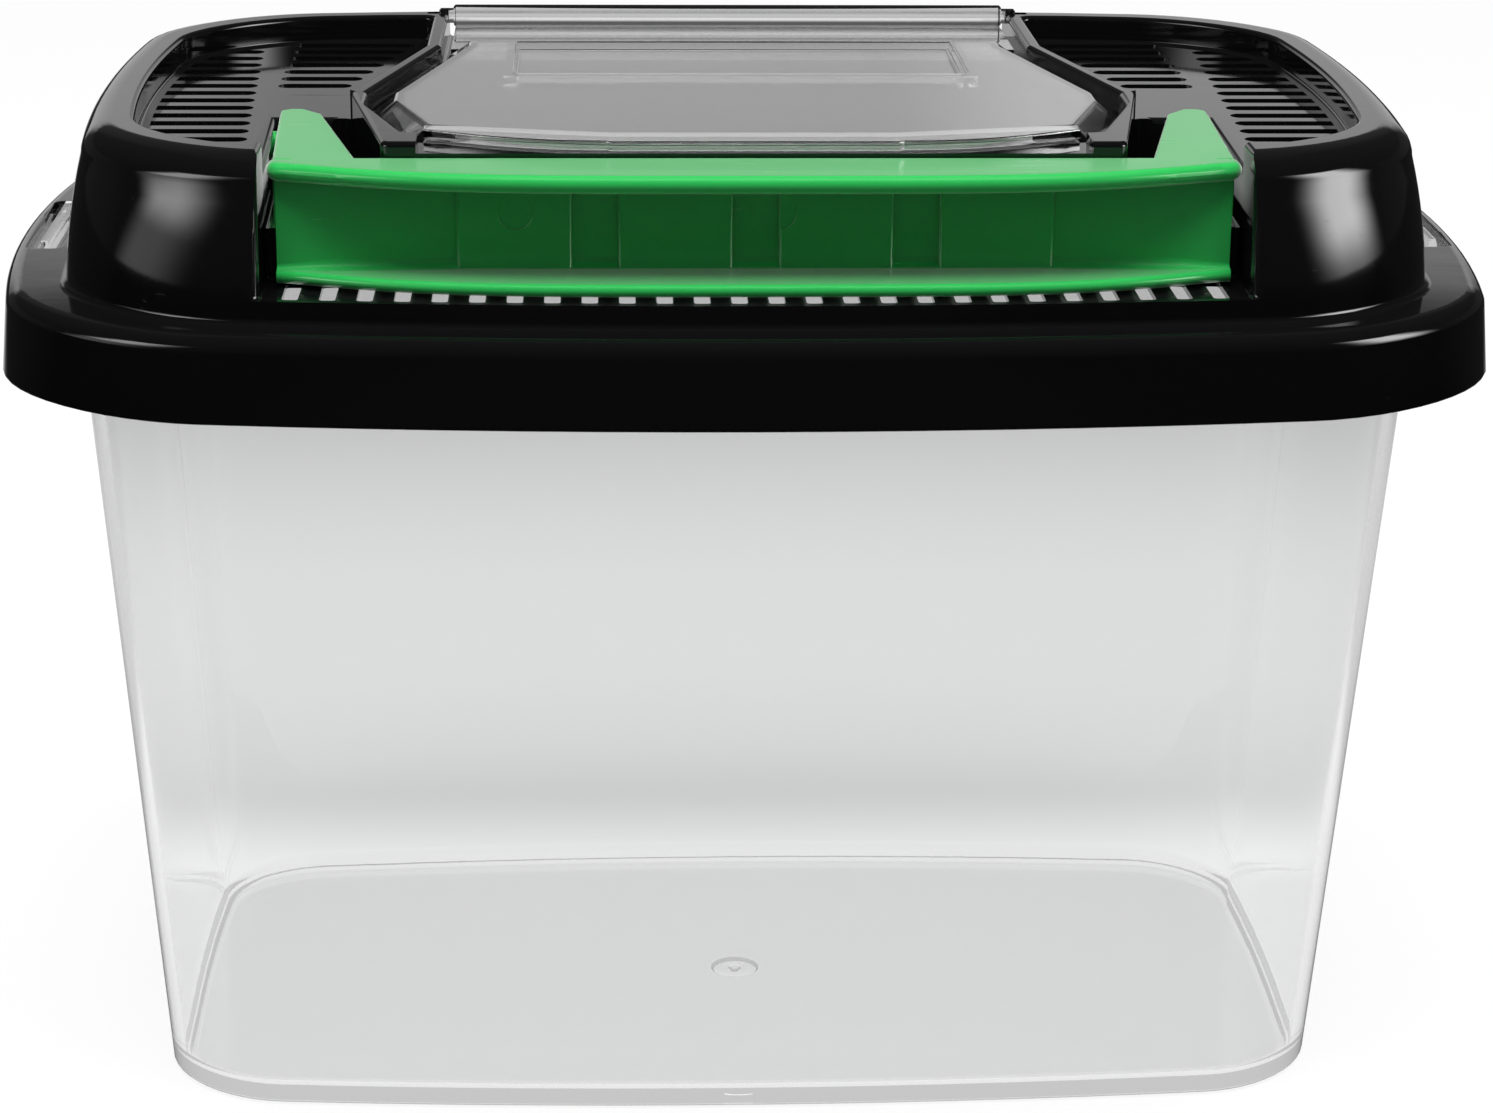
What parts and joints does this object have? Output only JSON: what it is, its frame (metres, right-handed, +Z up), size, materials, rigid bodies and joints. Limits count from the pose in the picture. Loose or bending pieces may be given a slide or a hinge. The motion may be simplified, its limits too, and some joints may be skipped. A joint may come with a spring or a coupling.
{
  "type": "plastic pet keeper",
  "caption": "Small clear plastic tank for pets with a vented black lid, a flip-up clear feeding hatch and a green carry handle that folds into the lid.",
  "frame": {"origin": "centre of the tank's base, on the surface that it stands on", "axes": "+Z up, -Y towards the front with the handle, +X to the right along the tank's width"},
  "size_m": [0.23, 0.1546, 0.1568],
  "materials": {
    "tank_clear": "clear polystyrene, polished",
    "lid_black": "black moulded plastic, high gloss",
    "hatch_clear": "clear polystyrene, polished",
    "handle_green": "green moulded plastic, gloss"
  },
  "bodies": {
    "tank": {"tank": "tank_clear"},
    "lid": {"lid": "lid_black"},
    "hatch": {"hatch": "hatch_clear"},
    "handle": {"handle": "handle_green"}
  },
  "joints": [
    {"name": "lid_lift", "type": "slide", "parent": "tank", "child": "lid", "axis": [0, 0, 1], "range_m": [0, 0.06]},
    {"name": "hatch_hinge", "type": "hinge", "parent": "lid", "child": "hatch", "pos_m": [0, 0.0598, 0.1549], "axis": [-1, 0, 0], "range_deg": [0, 110]},
    {"name": "handle_pivot", "type": "hinge", "parent": "lid", "child": "handle", "pos_m": [0, -0.0213, 0.1486], "axis": [-1, 0, 0], "range_deg": [0, 110]}
  ]
}
